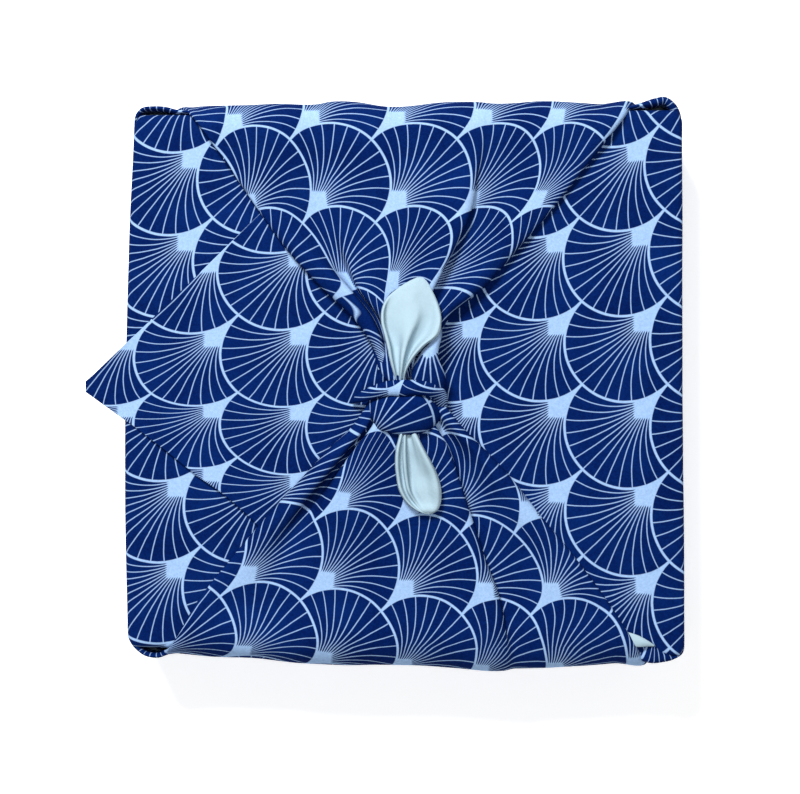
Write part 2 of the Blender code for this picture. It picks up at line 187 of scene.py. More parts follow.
class Value:
    # A number on a node tree that can be used in a sum
    def __init__(self, tree, socket):
        self.tree = tree
        self.socket = socket

    def calculate(self, operation, *operands):
        node = self.tree.nodes.new("ShaderNodeMath")
        node.operation = operation
        for entry, operand in zip(node.inputs, operands):
            if isinstance(operand, Value):
                self.tree.links.new(operand.socket, entry)
            else:
                entry.default_value = operand
        return Value(self.tree, node.outputs[0])

    def __add__(self, other):
        return self.calculate("ADD", self, other)

    def __sub__(self, other):
        return self.calculate("SUBTRACT", self, other)

    def __mul__(self, other):
        return self.calculate("MULTIPLY", self, other)

    def __truediv__(self, other):
        return self.calculate("DIVIDE", self, other)

    def __lt__(self, other):
        return self.calculate("LESS_THAN", self, other)

    def __radd__(self, other):
        return self.calculate("ADD", other, self)

    def __rsub__(self, other):
        return self.calculate("SUBTRACT", other, self)

    def __rmul__(self, other):
        return self.calculate("MULTIPLY", other, self)

    def __rtruediv__(self, other):
        return self.calculate("DIVIDE", other, self)

    def __abs__(self):
        return self.calculate("ABSOLUTE", self)

    def root(self):
        return self.calculate("SQRT", self)

    def sine(self):
        return self.calculate("SINE", self)

    def smaller(self, other):
        return self.calculate("MINIMUM", self, other)

    def larger(self, other):
        return self.calculate("MAXIMUM", self, other)


class ClothTree:
    # The node tree of one material, with its Principled shader
    def __init__(self, name):
        self.material = bpy.data.materials.new(name)
        self.material.use_nodes = True
        self.tree = self.material.node_tree
        self.shader = self.tree.nodes["Principled BSDF"]

    def add(self, kind, settings=None, **sockets):
        node = self.tree.nodes.new(kind)
        for setting, choice in (settings or {}).items():
            setattr(node, setting, choice)
        for label, entry in sockets.items():
            self.fill(node.inputs[label.replace("_", " ")], entry)
        return node

    def fill(self, socket, entry):
        if isinstance(entry, Value):
            self.tree.links.new(entry.socket, socket)
        elif isinstance(entry, bpy.types.NodeSocket):
            self.tree.links.new(entry, socket)
        else:
            socket.default_value = entry

    def value(self, socket):
        return Value(self.tree, socket)

    def mixColours(self, share, first, second):
        node = self.tree.nodes.new("ShaderNodeMix")
        node.data_type = "RGBA"
        self.fill(node.inputs["Factor"], share)
        self.fill(node.inputs[6], first)
        self.fill(node.inputs[7], second)
        return node.outputs[2]


def softStep(distance, width, soft):
    # 1 inside half the width, falling to 0 over the soft part
    inside = (width * 0.5 + soft - distance) / (2.0 * soft)
    return inside.larger(0.0).smaller(1.0)


def fanPrint(across, along):
    # Overlapping fans on a square lattice, each one a half circle of rays from its cusp
    cellAcross = across.calculate("FRACT", across)
    cellAlong = along.calculate("FRACT", along)
    restAcross = 1.0 - cellAcross
    restAlong = 1.0 - cellAlong
    both = (restAcross * restAcross + restAlong * restAlong) < 0.5
    right = (restAcross * restAcross + cellAlong * cellAlong) < 0.5
    upper = (cellAcross * cellAcross + restAlong * restAlong) < 0.5
    fromAcross = cellAcross - both.larger(right)
    fromAlong = cellAlong - both.larger(upper)
    radius = sqrt(0.5)
    toCusp = 0.5 - fromAcross
    upCusp = 0.5 - fromAlong
    reach = (toCusp * toCusp + upCusp * upCusp).larger(0.0001)
    bend = (toCusp - upCusp) / reach
    angle = 2.0 * bend.calculate("ARCTANGENT", bend)
    turns = angle / cloth["rayStep"]
    nearest = turns.calculate("ROUND", turns)
    offRay = abs(turns - nearest)
    scale = (1.0 + bend * bend) * reach * (cloth["rayStep"] / (4.0 * radius))
    ray = softStep(offRay * scale, cloth["rayWidth"], cloth["softEdge"])
    own = abs((fromAcross * fromAcross + fromAlong * fromAlong).root() - radius)
    beside = fromAcross - 1.0
    above = fromAlong - 1.0
    second = abs((beside * beside + fromAlong * fromAlong).root() - radius)
    third = abs((fromAcross * fromAcross + above * above).root() - radius)
    rim = softStep(own.smaller(second).smaller(third), cloth["rimWidth"], cloth["softEdge"])
    depth = toCusp.larger(upCusp) + offRay * cloth["toothLean"]
    past, fade = cloth["patchEdge"]
    solid = ((cloth["solidReach"] + past - depth) / fade).larger(0.0).smaller(1.0)
    return ray.larger(rim).larger(solid)


def weaveHeight(across, along):
    # Threads over and under one another
    turn = 2.0 * pi * cloth["threads"]
    warp = (across * turn).sine()
    weft = (along * turn).sine()
    return warp * weft


def clothMaterial(name, printed):
    board = ClothTree(name)
    position = board.add("ShaderNodeTexCoord").outputs["Object"]
    spot = board.add("ShaderNodeUVMap", {"uv_map": "print"}).outputs["UV"]
    parts = board.add("ShaderNodeSeparateXYZ", Vector=spot)
    across = board.value(parts.outputs["X"])
    along = board.value(parts.outputs["Y"])
    speckle = board.add("ShaderNodeTexNoise", Vector=position, Scale=900.0, Detail=3.0, Roughness=0.6)
    cloudy = board.add("ShaderNodeTexNoise", Vector=position, Scale=42.0, Detail=4.0, Roughness=0.55)
    speckleValue = board.value(speckle.outputs["Fac"])
    cloudyValue = board.value(cloudy.outputs["Fac"])
    if printed:
        wander = board.add("ShaderNodeTexNoise", Vector=position, Scale=160.0, Detail=2.0)
        waver = (board.value(wander.outputs["Fac"]) - 0.5) * cloth["waver"]
        light = fanPrint(across + waver, along - waver)
        shade = 0.5 + (cloudyValue - 0.5) * 1.1 + (speckleValue - 0.5) * 1.3
        ink = light * (0.86 + speckleValue * 0.22)
        dark = board.mixColours(shade.larger(0.0).smaller(1.0), *cloth["navy"])
        pale = board.mixColours(speckleValue, *cloth["paleBlue"])
        colour = board.mixColours(ink.smaller(1.0), dark, pale)
    else:
        shade = (cloudyValue * 0.7 + speckleValue * 0.5).smaller(1.0)
        colour = board.mixColours(shade, *cloth["reverse"])
    board.fill(board.shader.inputs["Base Color"], colour)
    board.fill(board.shader.inputs["Roughness"], 0.78 + speckleValue * 0.14)
    board.shader.inputs["Specular IOR Level"].default_value = 0.02
    weave = weaveHeight(across, along)
    crease = board.add("ShaderNodeTexNoise", Vector=position, Scale=75.0, Detail=5.0, Roughness=0.55,
                       Distortion=0.6)
    height = weave * cloth["weaveDepth"] + board.value(crease.outputs["Fac"]) * cloth["creaseDepth"]
    bump = board.add("ShaderNodeBump", Strength=0.55, Distance=1.0, Height=height)
    board.fill(board.shader.inputs["Normal"], bump.outputs["Normal"])
    return board.material


print("Making the cotton")
printedCotton = clothMaterial("printed_cotton", True)
cottonReverse = clothMaterial("cotton_reverse", False)
bothSides = (printedCotton, cottonReverse)


# The cloth round the box from left to right, with the corner folded over

panels = {
    "step": 3.2,                # spacing of the grid on flat parts
    "leftLevel": 52.5,          # the left panel lies under the folded corner
    "leftInner": -58.0,         # its hidden end
    "fullReach": 152.0,         # the cloth runs this far to the front and back, and down
    "flapTip": (-161.5, -2.0),
    "flapBack": ((-161.5, 0.6), (-158.0, 3.6), (-134.0, 26.0), (-105.0, 54.5), (-90.0, 69.5), (-20.0, 139.0),
                 (2.0, 160.0)),
    "flapFront": ((-161.5, 4.6), (-151.0, 12.0), (-135.8, 22.2), (-118.4, 35.8), (-102.7, 48.6), (-92.2, 55.8),
                  (-85.9, 61.2), (-75.4, 71.0), (-20.0, 138.0), (2.0, 160.0)),
    "bow": 1.3,                 # the sides stand out this much halfway up
    "sideRipple": (0.3, 34.0),  # height and size of their unevenness
    "topRipples": ((0.35, 46.0, 1.0), (0.12, 17.0, 2.0)),
    "calmBand": (118.0, 16.0),  # the top's unevenness ends here, towards the front and back
    # The folded corner rises a little past the middle, droops at its tip and lifts at its edges:
    # where that starts, over what length, and how far
    "flapRest": (30.0, 60.0, 0.25),
    "flapDroop": (118.0, 40.0, 1.9),
    "edgeLift": (60.0, 30.0, 0.25),
    "edgeRipple": (0.5, 21.0),
    # Length of one repeat of the print on top, down the right side, under the box and up the
    # left side, and on the left panel
    "repeats": (43.3, 43.9, 42.8, 43.6),
    "cuspAt": 89.3,             # a row of the right panel's cusps lies here
    "rowSpacing": 42.9,
    "printChange": (1.5, 3.0),  # repeats from the right and left edges where it changes below
    "flapShift": (0.07, (36.0, 34.0), (50.0, 30.0)),    # the print slips this far near its back edge
    "backShift": (0.104, 20.0, 110.0),  # and this far towards the back of the right panel
    "leftPrint": (41.8, 0.5, 0.0006),   # the left panel's repeat, its start and its slant
    # Where the rows of cusps lie from front to back, for places from left to right
    "cuspPlaces": (-127.0, -84.0, -41.0, 46.0, 89.0, 131.0),
    "cuspRows": (
        (-2.5, (-68.0, -71.0, -76.0, -84.5, -86.2, -88.9)),
        (-1.5, (-36.0, -37.9, -41.0, -42.6, -43.2, -44.2)),
        (-0.5, (-5.4, -4.8, -5.4, -0.1, -0.6, -0.6)),
        (0.5, (31.4, 34.5, 35.6, 38.7, 40.8, 43.5)),
        (1.5, (68.0, 72.0, 75.5, 80.0, 82.9, 86.5)),
        (2.5, (105.0, 110.0, 116.0, 122.0, 125.0, 128.6)),
    ),
}


def cuspSpot(x, y):
    # How far along the print a point of the right panel or the folded corner lies
    rows = [(between(x, list(zip(panels["cuspPlaces"], places))), number)
            for number, places in panels["cuspRows"]]
    if y < rows[0][0]:
        return rows[0][1] + (y - rows[0][0]) / panels["rowSpacing"]
    if y > rows[-1][0]:
        return rows[-1][1] + (y - rows[-1][0]) / panels["rowSpacing"]
    return between(y, rows)


def bandColumns():
    # Stops from the flap's tip, over the right side and under the box, to the left panel's end:
    # place of the core line, way out, spot in the print
    radius = parcel["edgeRadius"]
    coreX = parcel["halfWidth"] - radius
    coreTop = parcel["top"] - radius
    leftTop = panels["leftLevel"] - radius
    leftInner = panels["leftInner"]
    tipX = panels["flapTip"][0]
    arc = radius * pi / 2.0
    topRepeat, sideRepeat, baseRepeat, leftRepeat = panels["repeats"]
    stretches = (
        (coreX - tipX, topRepeat),
        (arc, sideRepeat),
        (coreTop - radius, sideRepeat),
        (arc, sideRepeat),
        (2.0 * coreX, baseRepeat),
        (arc, baseRepeat),
        (leftTop - radius, baseRepeat),
        (arc, baseRepeat),
        (leftInner + coreX, leftRepeat),
    )
    spots = [0.5 + (tipX - panels["cuspAt"]) / topRepeat]
    for length, repeat in stretches:
        spots.append(spots[-1] + length / repeat)
    stops = []

    def run(start, end, out, number, fine=1.0):
        # A flat stretch of that number
        length = hypot(end[0] - start[0], end[1] - start[1])
        count = max(2, ceil(length / (panels["step"] * fine)))
        for index in range(count):
            share = index / count
            core = (start[0] + (end[0] - start[0]) * share, start[1] + (end[1] - start[1]) * share)
            stops.append((core, out, spots[number] + (spots[number + 1] - spots[number]) * share))

    def turn(centre, first, number, count=6):
        # A quarter turn round an edge
        for index in range(count):
            share = index / count
            angle = first - share * pi / 2.0
            spot = spots[number] + (spots[number + 1] - spots[number]) * share
            stops.append((centre, (cos(angle), sin(angle)), spot))

    run((tipX, coreTop), (coreX, coreTop), (0.0, 1.0), 0, 0.8)
    turn((coreX, coreTop), pi / 2.0, 1)
    run((coreX, coreTop), (coreX, radius), (1.0, 0.0), 2)
    turn((coreX, radius), 0.0, 3)
    run((coreX, radius), (-coreX, radius), (0.0, -1.0), 4, 1.5)
    turn((-coreX, radius), -pi / 2.0, 5)
    run((-coreX, radius), (-coreX, leftTop), (-1.0, 0.0), 6)
    turn((-coreX, leftTop), pi, 7)
    run((-coreX, leftTop), (leftInner, leftTop), (0.0, 1.0), 8, 0.8)
    stops.append(((leftInner, leftTop), (0.0, 1.0), spots[-1]))
    return stops


def crossRows():
    # Stops from front to back as shares of the half width, closer where the cloth turns down
    edge = [1.0, 0.985, 0.965, 0.945, 0.925, 0.912, 0.9, 0.889, 0.878, 0.867, 0.857, 0.845]
    count = 50
    middle = [0.83 * (2.0 * index / count - 1.0) for index in range(count + 1)]
    return [-share for share in edge] + middle + edge[::-1]


def makePanels():
    stops = bandColumns()
    rows = crossRows()
    radius = parcel["edgeRadius"]
    coreX = parcel["halfWidth"] - radius
    half = parcel["top"] / 2.0
    halfCore = half - radius
    flapBack = panels["flapBack"]
    flapFront = panels["flapFront"]
    fullReach = panels["fullReach"]
    lastRight = next(index for index, stop in enumerate(stops) if stop[1] != (0.0, 1.0)) - 1
    fromRight, fromLeft = panels["printChange"]
    spotUnder = (stops[lastRight][2] + fromRight, stops[-1][2] - fromLeft)
    calmFrom, calmOver = panels["calmBand"]
    sideHeight, sideSize = panels["sideRipple"]
    restFrom, restOver, restRise = panels["flapRest"]
    droopFrom, droopOver, droop = panels["flapDroop"]
    liftFrom, liftOver, lift = panels["edgeLift"]
    edgeHeight, edgeSize = panels["edgeRipple"]
    flapShift, (shiftY, shiftOverY), (shiftX, shiftOverX) = panels["flapShift"]
    backShift, backFrom, backOver = panels["backShift"]
    leftRepeat, leftStart, leftSlant = panels["leftPrint"]

    def place(u, v):
        column = round(u * (len(stops) - 1))
        (x, z), (outX, outZ), printAcross = stops[column]
        share = rows[round(v * (len(rows) - 1))]
        onFlap = column <= lastRight
        limit = fullReach
        if onFlap:
            limit = min(fullReach, between(x, flapBack if share > 0.0 else flapFront))
        across = share * limit
        bendRadius = radius + (parcel["cornerRadius"] - radius) * abs(outX)
        straight = parcel["halfDepth"] - bendRadius
        over = abs(across) - straight
        sideways = 1.0 if across > 0.0 else -1.0
        inset = 0.0
        y = across
        if over > 0.0:
            angle = min(over / bendRadius, pi / 2.0)
            beyond = over - bendRadius * pi / 2.0
            y = sideways * (straight + bendRadius * sin(angle))
            inset = bendRadius * (1.0 - cos(angle)) + max(beyond, 0.0)
        shrink = max(0.0, inset - radius + 0.3)
        reach = max(radius - inset, 0.3) if inset > 0.0 else radius
        pointX = x * (coreX - shrink) / coreX
        pointZ = half + (z - half) * (halfCore - shrink) / halfCore
        if onFlap and x < -20.0:
            pointX = x
        pointX += outX * reach
        pointZ += outZ * reach
        # The filled sides bow out a little, and flat parts are never quite flat
        upright = abs(outX)
        if upright > 0.9 and inset == 0.0:
            rise = (z - radius) / (2.0 * halfCore)
            pointX += outX * panels["bow"] * sin(pi * min(max(rise, 0.0), 1.0)) * (1.0 - (y / 140.0) ** 2)
        if outZ > 0.9:
            calm = 1.0 - ease((abs(y) - calmFrom) / calmOver)
            for height, size, seed in panels["topRipples"]:
                pointZ += calm * height * ripple(pointX, y, size, seed)
        elif upright > 0.9:
            pointX += outX * sideHeight * ripple(y, pointZ, sideSize, 5.0)
        if onFlap:
            pointZ += restRise * ease((-x - restFrom) / restOver) - droop * ease((-x - droopFrom) / droopOver)
            edge = abs(share) ** 6 * ease((-x - liftFrom) / liftOver)
            pointZ += edge * (lift + edgeHeight * ripple(x, y, edgeSize, 9.0))
        # The print changes from the right panel's to the left panel's under the box
        turned = ease((printAcross - spotUnder[0]) / (spotUnder[1] - spotUnder[0]))
        printAlong = cuspSpot(x if onFlap else coreX, across)
        if onFlap:
            printAcross += flapShift * ease((across - shiftY) / shiftOverY) * ease((-x - shiftX) / shiftOverX)
        printAcross += (1.0 - turned) * backShift * (max(across - backFrom, 0.0) / backOver) ** 2
        printAlong += turned * (across / leftRepeat - leftStart - printAlong)
        printAcross -= turned * leftSlant * across
        return settle(pointX, y, pointZ), (printAcross, printAlong)

    sheet = makeSheet("wrapped_panels", len(stops) - 1, len(rows) - 1, place)
    return finishPiece("wrapped_panels", sheet, bothSides, thickness=cloth["thickness"])


print("Laying the cloth round the box")
wrappedPanels = makePanels()


# The two corners drawn up to the knot. Every fold line has its place across the parcel and how
# proud it stands at each stop, and some say which thread of the print lies there, in repeats.

stopsBack = {
    "reach": (136.0, 136.8, 137.4, 137.8, 133.0, 110.0, 86.0, 66.0, 48.0, 32.0, 14.0, -4.0),
    "level": (1.0, 14.0, 34.0, 48.5, 54.3, 54.4, 54.4, 54.4, 54.4, 54.4, 54.4, 54.4),
    "out": (1.0, 1.0, 1.0, 0.9, 0.2, 0.0, 0.0, 0.0, 0.0, 0.0, 0.0, 0.0),
    "up": (0.0, 0.0, 0.0, 0.2, 1.0, 1.0, 1.0, 1.0, 1.0, 1.0, 1.0, 1.0),
    "printAlong": (-1.52, -1.17, -0.64, -0.24, 0.02, 0.58, 1.164, 1.65, 2.09, 2.48, 2.92, 3.36),
    "shiftAcross": 0.24,
    "shiftAlong": ((-100.0, 0.12), (-60.0, 0.21), (80.0, 0.21)),
}
stopsFront = {
    "reach": (136.0, 136.8, 137.4, 137.8, 133.0, 110.0, 86.0, 66.0, 48.0, 32.0, 23.0, 12.0),
    "level": stopsBack["level"],
    "out": stopsBack["out"],
    "up": stopsBack["up"],
    "printAlong": (2.20, 1.90, 1.44, 1.09, 0.82, 0.24, -0.35, -0.83, -1.27, -1.65, -1.87, -2.13),
    "shiftAcross": 0.0,
    "shiftAlong": ((-93.0, 0.31), (-50.0, 0.26), (-10.0, 0.135), (28.0, 0.105), (60.0, 0.09), (98.0, 0.09),
                   (120.0, 0.17)),
}
foldsBack = {
    "left hem": (
        (-134, -128, -117, -108.5, -102.5, -85.5, -68.5, -54, -37, -21.5, -12.5, -11),
        (0.1, 0.3, 0.4, 0.4, 0.3, 0.3, 0.3, 0.4, 0.8, 2.0, 4.0, 4.0),
        (-3.05, -3.0, -2.9, -2.76, -2.62, -2.29, -1.99, -1.74, -1.49, -1.2, -0.92, -0.85)),
    "left edge": (
        (-137, -131, -121, -113, -107, -90, -73.5, -59, -42.5, -26, -15, -14),
        (0.3, 0.9, 1.3, 1.4, 1.1, 1.3, 1.7, 2.6, 4.0, 5.5, 6.5, 6.0),
        (-2.98, -2.92, -2.8, -2.64, -2.5, -2.17, -1.87, -1.6, -1.33, -1.05, -0.8, -0.75)),
    "roll crest": (
        (-132, -125, -115, -106.5, -100.5, -84.5, -69, -53.5, -35, -21, -12.5, -11.5),
        (0.8, 2.0, 2.8, 2.8, 2.6, 3.2, 4.8, 7.0, 9.0, 10.0, 10.5, 8.0), None),
    "roll back": (
        (-112, -106, -97, -90, -85, -74, -61.5, -47, -29.5, -17, -10.5, -9.5),
        (0.8, 2.2, 3.4, 3.6, 2.6, 2.8, 4.0, 6.4, 8.6, 9.4, 9.5, 7.5), None),
    "valley wall": (
        (-80, -76, -70, -66, -63, -56, -50, -40.5, -27.6, -15.6, -8.6, -8),
        (0.8, 2.4, 4.4, 4.4, 2.4, 1.8, 1.8, 2.2, 2.0, 3.0, 5.0, 6.0), None),
    "valley floor": (
        (-50, -49, -47, -45.5, -44.5, -42.5, -39.8, -34.5, -26, -14.6, -7.6, -6.5),
        (0.8, 2.4, 4.2, 4.2, 2.2, 1.0, 0.8, 0.7, 0.8, 2.0, 4.5, 6.0),
        (-1.0, -0.97, -0.93, -0.9, -0.886, -0.886, -0.886, -0.886, -0.886, -0.88, -0.87, -0.85)),
    "middle wall": (
        (-38, -38, -38, -38, -37, -36, -34, -30, -23.4, -12.6, -6.2, -5.5),
        (0.8, 2.8, 5.6, 5.6, 3.0, 2.4, 3.2, 4.8, 6.6, 8.0, 9.0, 7.5), None),
    "middle left": (
        (-26, -26, -26, -26, -26, -25, -23, -21, -17.5, -9.5, -4.5, -4),
        (0.8, 2.8, 5.4, 5.4, 3.0, 3.2, 4.4, 6.0, 8.0, 9.8, 10.5, 8.0), None),
    "middle": (
        (-6.3, -6.3, -6.3, -6.3, -6.3, -5.5, -5, -6, -6.8, -4.5, -1.5, -1.5),
        (0.8, 1.8, 3.0, 2.8, 2.0, 2.6, 3.8, 5.4, 7.4, 9.4, 10.5, 8.0),
        (0.0,) * 12),
    "middle right": (
        (18, 18, 18, 18, 18, 16, 14, 9.5, 4.5, 1.5, 1, 0.5),
        (0.8, 2.6, 5.2, 5.2, 2.8, 2.8, 4.0, 5.6, 7.6, 9.4, 10.5, 8.0), None),
    "pleat lip": (
        (40, 40, 40, 39.5, 39, 36.5, 33, 24, 14.5, 8, 4.5, 3.5),
        (0.8, 2.8, 5.4, 5.2, 3.2, 3.6, 5.0, 6.8, 8.6, 9.8, 10.5, 8.0),
        (1.06, 1.05, 1.05, 1.04, 1.03, 1.02, 1.0, 1.0, 1.0, 1.0, 1.0, 1.0)),
    "under the lip": (
        (43, 43, 43, 42.5, 42, 38, 30.5, 20.5, 11, 5.8, 4.6, 4.2),
        (0.8, 2.6, 5.0, 4.8, 2.6, 2.2, 2.0, 2.4, 3.2, 4.5, 6.5, 7.0), None),
    "pleat foot": (
        (47, 47, 47, 46.5, 46, 42, 37, 27.5, 18, 11, 7, 6),
        (0.8, 2.4, 4.8, 4.6, 2.2, 1.4, 1.0, 1.0, 1.2, 2.0, 4.5, 6.0),
        (1.21, 1.21, 1.2, 1.2, 1.19, 1.19, 1.19, 1.2, 1.22, 1.22, 1.2, 1.2)),
    "right slope": (
        (75, 73, 71, 70, 69, 61, 51.5, 40, 27, 15.5, 9.5, 8),
        (0.8, 3.0, 5.8, 5.8, 3.0, 2.4, 2.8, 3.8, 5.0, 6.0, 7.5, 7.0), None),
    "right crest": (
        (112, 107, 101, 97, 93.5, 78, 61.5, 46.5, 32.5, 17.5, 11.5, 10),
        (0.8, 2.4, 4.2, 4.4, 2.8, 3.2, 4.8, 6.6, 8.0, 8.8, 9.0, 7.5), None),
    "right edge": (
        (137, 131, 122, 115.5, 110, 92, 73, 55.5, 39.7, 21.5, 14, 12.5),
        (0.3, 1.0, 2.2, 2.8, 1.4, 1.3, 1.7, 2.4, 3.2, 4.2, 5.5, 5.5),
        (3.25, 3.2, 3.14, 3.06, 3.0, 2.6, 2.36, 2.04, 1.75, 1.52, 1.35, 1.3)),
    "right hem": (
        (135, 128, 118, 111, 105, 87.5, 69, 51.5, 35.7, 18.5, 12, 11),
        (0.1, 0.3, 1.4, 2.0, 0.4, 0.3, 0.3, 0.4, 0.8, 2.0, 4.0, 4.0),
        (3.35, 3.31, 3.25, 3.17, 3.12, 2.72, 2.48, 2.16, 1.87, 1.63, 1.45, 1.4)),
}
foldsFront = {
    "left hem": (
        (-134, -131, -126, -120.5, -115, -100.5, -81.5, -64.5, -48, -33.5, -24.5, -17),
        (0.1, -0.6, -1.6, -1.4, 0.3, 0.3, 0.3, 0.4, 0.6, 1.0, 2.5, 4.0),
        (-3.35, -3.35, -3.32, -3.28, -3.22, -2.92, -2.58, -2.31, -2.1, -2.0, -1.95, -1.9)),
    "left edge": (
        (-137, -134, -129, -124, -119, -105, -86, -69, -52.5, -37.5, -28, -20),
        (0.3, -0.4, -1.2, -1.2, 0.8, 1.2, 1.5, 2.2, 3.4, 4.5, 5.5, 5.5),
        (-3.23, -3.22, -3.2, -3.16, -3.1, -2.79, -2.45, -2.18, -1.96, -1.85, -1.8, -1.75)),
    "tube crest": (
        (-130, -127, -121, -115.5, -110, -96.5, -79, -62.5, -46.5, -32.5, -23.5, -16.5),
        (0.8, 0.2, -0.4, -0.2, 1.8, 2.4, 4.0, 7.0, 8.8, 9.5, 9.2, 8.0), None),
    "tube back": (
        (-112, -110, -106, -102, -98, -87, -72, -56.5, -41.5, -28.5, -20.5, -14.5),
        (0.8, 0.8, 1.0, 1.2, 1.8, 2.2, 3.6, 6.0, 8.2, 9.0, 8.8, 7.5), None),
    "gap wall": (
        (-98, -96, -93, -90.5, -87.5, -79, -66, -53, -39.5, -27.2, -19.6, -14),
        (0.8, 1.2, 1.6, 1.8, 1.8, 1.6, 1.8, 1.8, 2.0, 2.5, 4.5, 6.0), None),
    "gap floor": (
        (-88, -86, -83, -81, -79, -71.5, -61, -49.5, -37.5, -26, -18.6, -13),
        (0.8, 1.4, 2.0, 2.2, 1.8, 1.4, 1.0, 0.7, 0.7, 1.0, 3.5, 6.0),
        (-2.11, -2.11, -2.12, -2.13, -2.13, -1.95, -1.8, -1.64, -1.54, -1.5, -1.48, -1.45)),
    "main edge": (
        (-76, -75, -73, -72, -70.5, -63.5, -53, -43.5, -35.2, -24.4, -17.2, -11.5),
        (0.8, 1.6, 2.6, 2.8, 2.0, 2.0, 3.0, 4.6, 5.8, 7.2, 8.4, 7.5), None),
    "main left": (
        (-56, -56, -55, -54, -53, -48, -41, -34.5, -28.5, -20, -13.5, -8.5),
        (0.8, 2.2, 4.4, 4.8, 2.8, 3.0, 4.2, 5.8, 7.2, 8.6, 9.4, 8.0), None),
    "middle left": (
        (-33, -33, -33, -33, -32, -29, -24.5, -20, -17, -12, -8, -5),
        (0.8, 3.0, 5.6, 5.8, 3.2, 3.2, 4.2, 5.6, 7.2, 8.8, 9.5, 8.0), None),
    "middle": (
        (-6.3, -5, -3.5, -2, -1, 0, 0.3, 1.5, 2, 2, 2, 1),
        (0.8, 3.0, 5.6, 5.8, 3.2, 3.4, 4.4, 5.8, 7.4, 8.8, 9.5, 8.0),
        (-0.25, -0.25, -0.24, -0.23, -0.22, -0.2, -0.215, -0.23, -0.24, -0.24, -0.24, -0.24)),
    "middle right": (
        (22, 23, 24, 25, 26, 25, 21.5, 18.5, 15, 12, 9, 5),
        (0.8, 3.6, 6.6, 7.4, 3.6, 3.6, 4.6, 6.0, 7.5, 8.8, 9.5, 8.0), None),
    "pleat lip": (
        (50, 50, 50, 50, 51, 48, 39.3, 32.8, 26.8, 21.3, 15.8, 9),
        (0.8, 4.4, 7.6, 9.2, 4.2, 4.6, 5.6, 6.8, 8.2, 9.2, 9.6, 8.0),
        (1.03, 1.05, 1.08, 1.1, 1.12, 1.0, 0.82, 0.67, 0.52, 0.38, 0.3, 0.2)),
    "under the lip": (
        (55, 55, 55, 55, 53.5, 44.5, 35.5, 29, 23.5, 18.8, 14.4, 9),
        (0.8, 3.9, 6.8, 8.0, 2.8, 2.0, 2.0, 2.0, 2.4, 3.4, 5.0, 6.5), None),
    "pleat foot": (
        (60, 60, 60, 60, 59.5, 54.5, 46, 38.5, 31.5, 25.5, 19.5, 12.5),
        (0.8, 3.8, 6.6, 7.8, 2.8, 1.5, 1.2, 1.1, 1.4, 2.2, 4.0, 6.0),
        (1.19, 1.24, 1.32, 1.38, 1.41, 1.3, 1.22, 1.12, 1.0, 0.95, 0.93, 0.9)),
    "right slope": (
        (85, 85, 85, 84, 83, 73, 61, 50, 39.5, 29.5, 22, 14.5),
        (0.8, 3.4, 6.0, 6.6, 3.0, 2.6, 3.0, 3.8, 5.0, 5.6, 6.5, 7.0), None),
    "right crest": (
        (115, 114, 110, 106, 102.5, 89, 73.5, 58.5, 46.5, 33.5, 25, 17),
        (0.8, 2.8, 4.8, 5.0, 2.8, 3.4, 4.8, 6.2, 7.4, 8.0, 8.4, 7.5), None),
    "right edge": (
        (137, 134, 127.5, 121.5, 117, 102, 84, 67.5, 53.5, 38.5, 29.5, 20.5),
        (0.3, 1.4, 2.8, 3.4, 1.4, 1.4, 1.8, 2.4, 3.2, 4.0, 5.0, 5.5),
        (3.01, 2.99, 2.95, 2.91, 2.87, 2.52, 2.2, 1.95, 1.7, 1.40, 1.28, 1.2)),
    "right hem": (
        (135, 131, 123.5, 117, 112, 97.5, 79.5, 63, 49, 34.5, 26.5, 18.5),
        (0.1, 0.6, 2.0, 2.6, 0.4, 0.3, 0.3, 0.4, 0.6, 1.2, 3.0, 4.0),
        (3.13, 3.11, 3.07, 3.03, 2.99, 2.64, 2.32, 2.07, 1.82, 1.47, 1.34, 1.26)),
}
drawnCorners = {
    "perFold": 9,               # columns from one fold line to the next
    "perStop": 11,
    "topLevel": (52.0, 4.0),    # above this the unevenness lifts the cloth, below it pushes it out
    "topRipple": (0.28, 24.0),
    "faceRipple": (0.4, 22.0),
    # Fine lines that pull towards the knot: height, size, where they start and over what length
    "pull": (0.22, 7.0, 110.0, 80.0),
    "threadLength": 43.0,
}


def foldLines(folds, stops, way):
    # Place, thread of the print and place along the print for every fold line at every stop
    lines = []
    for across, proud, threads in folds.values():
        line = []
        for index in range(len(across)):
            reach = stops["reach"][index] + stops["out"][index] * proud[index]
            level = stops["level"][index] + stops["up"][index] * proud[index]
            thread = threads[index] if threads else 0.0
            line.append((across[index], way * reach, level, thread, stops["printAlong"][index]))
        lines.append(line)
    return lines


def threadAt(length, anchors):
    # The thread of the print at a length along a section, from the lengths of those that are known
    index = 0
    while index < len(anchors) - 2 and length > anchors[index + 1][0]:
        index += 1
    slopes = [(high - low) / max(end - start, 0.01)
              for (start, low), (end, high) in zip(anchors, anchors[1:])]
    leaving = slopes[index] if index == 0 else 0.5 * (slopes[index - 1] + slopes[index])
    arriving = slopes[index] if index == len(slopes) - 1 else 0.5 * (slopes[index] + slopes[index + 1])
    (start, low), (end, high) = anchors[index], anchors[index + 1]
    span = max(end - start, 0.01)
    share = (length - start) / span
    return (low * (2.0 * share ** 3 - 3.0 * share ** 2 + 1.0)
            + leaving * span * (share ** 3 - 2.0 * share ** 2 + share)
            + high * (3.0 * share ** 2 - 2.0 * share ** 3)
            + arriving * span * (share ** 3 - share ** 2))


